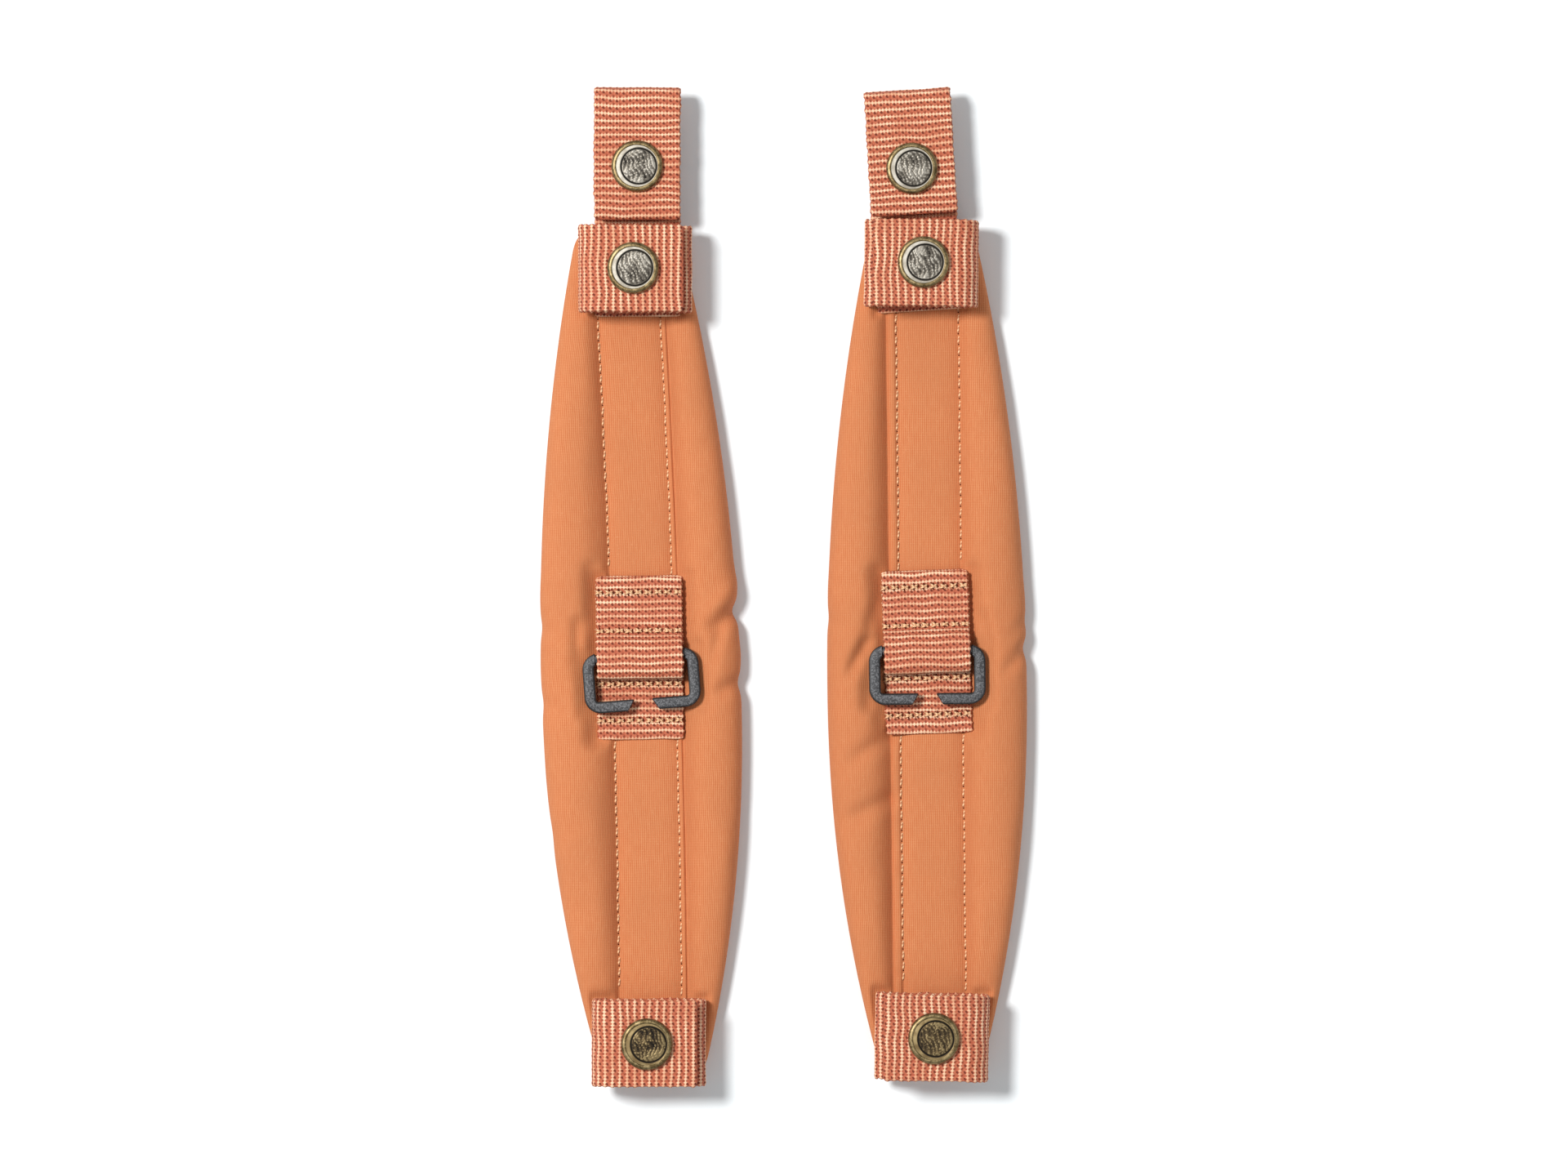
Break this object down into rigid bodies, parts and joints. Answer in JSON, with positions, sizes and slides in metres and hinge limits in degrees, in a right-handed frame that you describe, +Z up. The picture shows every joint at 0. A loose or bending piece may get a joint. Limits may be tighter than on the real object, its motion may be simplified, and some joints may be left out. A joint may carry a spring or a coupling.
{
  "type": "shoulder strap pads",
  "caption": "Padded fabric covers for a pack's shoulder straps, each with webbing bands and a loop closed by press studs, and an open wire hook in a webbing keeper.",
  "frame": {"origin": "middle of the pair's box, on the surface that it lies on", "axes": "+X across the pair to the right, +Y along the pads to the loops, +Z up"},
  "size_m": [0.1422, 0.2911, 0.0223],
  "materials": {
    "cover_fabric": "orange ribbed cotton and polyester cloth",
    "webbing": "ribbed peach and red-orange webbing",
    "foam": "closed-cell foam",
    "hook_metal": "charcoal powder coat, fine grain",
    "snap_brass": "antique brass, brushed"
  },
  "bodies": {
    "left_pad": {"left_foam_core": "foam", "left_front_cover": "cover_fabric", "left_back_cover": "cover_fabric", "left_loop_base": "webbing", "left_loop_fold": "webbing", "left_loop_snap_stud": "snap_brass", "left_loop_snap_post": "snap_brass", "left_keeper_base": "webbing", "left_hook_loop": "webbing", "left_top_band_base": "webbing", "left_top_band_folds": "webbing", "left_bottom_band_base": "webbing", "left_bottom_band_folds": "webbing"},
    "left_loop_upper": {"left_loop_flap": "webbing", "left_loop_snap_cap": "snap_brass", "left_loop_snap_socket": "snap_brass"},
    "left_top_flap": {"left_top_band_flap": "webbing", "left_top_snap_cap": "snap_brass", "left_top_snap_socket": "snap_brass"},
    "left_top_tab": {"left_top_band_tab": "webbing", "left_top_snap_stud": "snap_brass", "left_top_snap_post": "snap_brass"},
    "left_bottom_flap": {"left_bottom_band_flap": "webbing", "left_bottom_snap_cap": "snap_brass", "left_bottom_snap_socket": "snap_brass"},
    "left_bottom_tab": {"left_bottom_band_tab": "webbing", "left_bottom_snap_stud": "snap_brass", "left_bottom_snap_post": "snap_brass"},
    "left_hook": {"left_hook": "hook_metal"},
    "right_pad": {"right_foam_core": "foam", "right_front_cover": "cover_fabric", "right_back_cover": "cover_fabric", "right_loop_base": "webbing", "right_loop_fold": "webbing", "right_loop_snap_stud": "snap_brass", "right_loop_snap_post": "snap_brass", "right_keeper_base": "webbing", "right_hook_loop": "webbing", "right_top_band_base": "webbing", "right_top_band_folds": "webbing", "right_bottom_band_base": "webbing", "right_bottom_band_folds": "webbing"},
    "right_loop_upper": {"right_loop_flap": "webbing", "right_loop_snap_cap": "snap_brass", "right_loop_snap_socket": "snap_brass"},
    "right_top_flap": {"right_top_band_flap": "webbing", "right_top_snap_cap": "snap_brass", "right_top_snap_socket": "snap_brass"},
    "right_top_tab": {"right_top_band_tab": "webbing", "right_top_snap_stud": "snap_brass", "right_top_snap_post": "snap_brass"},
    "right_bottom_flap": {"right_bottom_band_flap": "webbing", "right_bottom_snap_cap": "snap_brass", "right_bottom_snap_socket": "snap_brass"},
    "right_bottom_tab": {"right_bottom_band_tab": "webbing", "right_bottom_snap_stud": "snap_brass", "right_bottom_snap_post": "snap_brass"},
    "right_hook": {"right_hook": "hook_metal"}
  },
  "joints": [
    {"name": "left_loop_open", "type": "hinge", "parent": "left_pad", "child": "left_loop_upper", "pos_m": [-0.04267, 0.14218, 0.0098], "axis": [-1, 0, 0], "range_deg": [0, 150], "deforming": ["left_loop_fold"]},
    {"name": "left_top_flap_open", "type": "hinge", "parent": "left_pad", "child": "left_top_flap", "pos_m": [-0.05347, 0.09235, 0.014], "axis": [0, -1, 0], "range_deg": [0, 150], "deforming": ["left_top_band_folds"]},
    {"name": "left_top_tab_lift", "type": "hinge", "parent": "left_pad", "child": "left_top_tab", "pos_m": [-0.03017, 0.09235, 0.0113], "axis": [0, -1, 0], "range_deg": [-40.5, 0], "deforming": ["left_top_band_folds"]},
    {"name": "left_bottom_flap_open", "type": "hinge", "parent": "left_pad", "child": "left_bottom_flap", "pos_m": [-0.04949, -0.13283, 0.0128], "axis": [0, -1, 0], "range_deg": [0, 150], "deforming": ["left_bottom_band_folds"]},
    {"name": "left_bottom_tab_lift", "type": "hinge", "parent": "left_pad", "child": "left_bottom_tab", "pos_m": [-0.02619, -0.13283, 0.0101], "axis": [0, -1, 0], "range_deg": [-40.5, 0], "deforming": ["left_bottom_band_folds"]},
    {"name": "left_hook_swing", "type": "hinge", "parent": "left_pad", "child": "left_hook", "pos_m": [-0.04192, -0.02035, 0.0106], "axis": [-0.9971, -0.0758, 0], "range_deg": [0, 150]},
    {"name": "right_loop_open", "type": "hinge", "parent": "right_pad", "child": "right_loop_upper", "pos_m": [0.03607, 0.14149, 0.0098], "axis": [-0.9981, -0.0619, 0], "range_deg": [0, 150], "deforming": ["right_loop_fold"]},
    {"name": "right_top_flap_open", "type": "hinge", "parent": "right_pad", "child": "right_top_flap", "pos_m": [0.05032, 0.09385, 0.014], "axis": [0.0148, 0.9999, 0], "range_deg": [0, 150], "deforming": ["right_top_band_folds"]},
    {"name": "right_top_tab_lift", "type": "hinge", "parent": "right_pad", "child": "right_top_tab", "pos_m": [0.02702, 0.09419, 0.0113], "axis": [0.0148, 0.9999, 0], "range_deg": [-40.5, 0], "deforming": ["right_top_band_folds"]},
    {"name": "right_bottom_flap_open", "type": "hinge", "parent": "right_pad", "child": "right_bottom_flap", "pos_m": [0.05339, -0.13139, 0.0128], "axis": [0.0201, 0.9998, 0], "range_deg": [0, 150], "deforming": ["right_bottom_band_folds"]},
    {"name": "right_bottom_tab_lift", "type": "hinge", "parent": "right_pad", "child": "right_bottom_tab", "pos_m": [0.03009, -0.13092, 0.0101], "axis": [0.0201, 0.9998, 0], "range_deg": [-40.5, 0], "deforming": ["right_bottom_band_folds"]},
    {"name": "right_hook_swing", "type": "hinge", "parent": "right_pad", "child": "right_hook", "pos_m": [0.0418, -0.0187, 0.0106], "axis": [-0.9999, -0.0113, 0], "range_deg": [0, 150]},
    {"name": "pair_spread", "type": "slide", "parent": "left_pad", "child": "right_pad", "axis": [1, 0, 0], "range_m": [0, 0.1]}
  ],
  "couplings": [
    {"joint": "left_top_tab_lift", "follows": "left_top_flap_open", "ratio": -0.23},
    {"joint": "left_bottom_tab_lift", "follows": "left_bottom_flap_open", "ratio": -0.23},
    {"joint": "right_top_tab_lift", "follows": "right_top_flap_open", "ratio": -0.23},
    {"joint": "right_bottom_tab_lift", "follows": "right_bottom_flap_open", "ratio": -0.23}
  ]
}
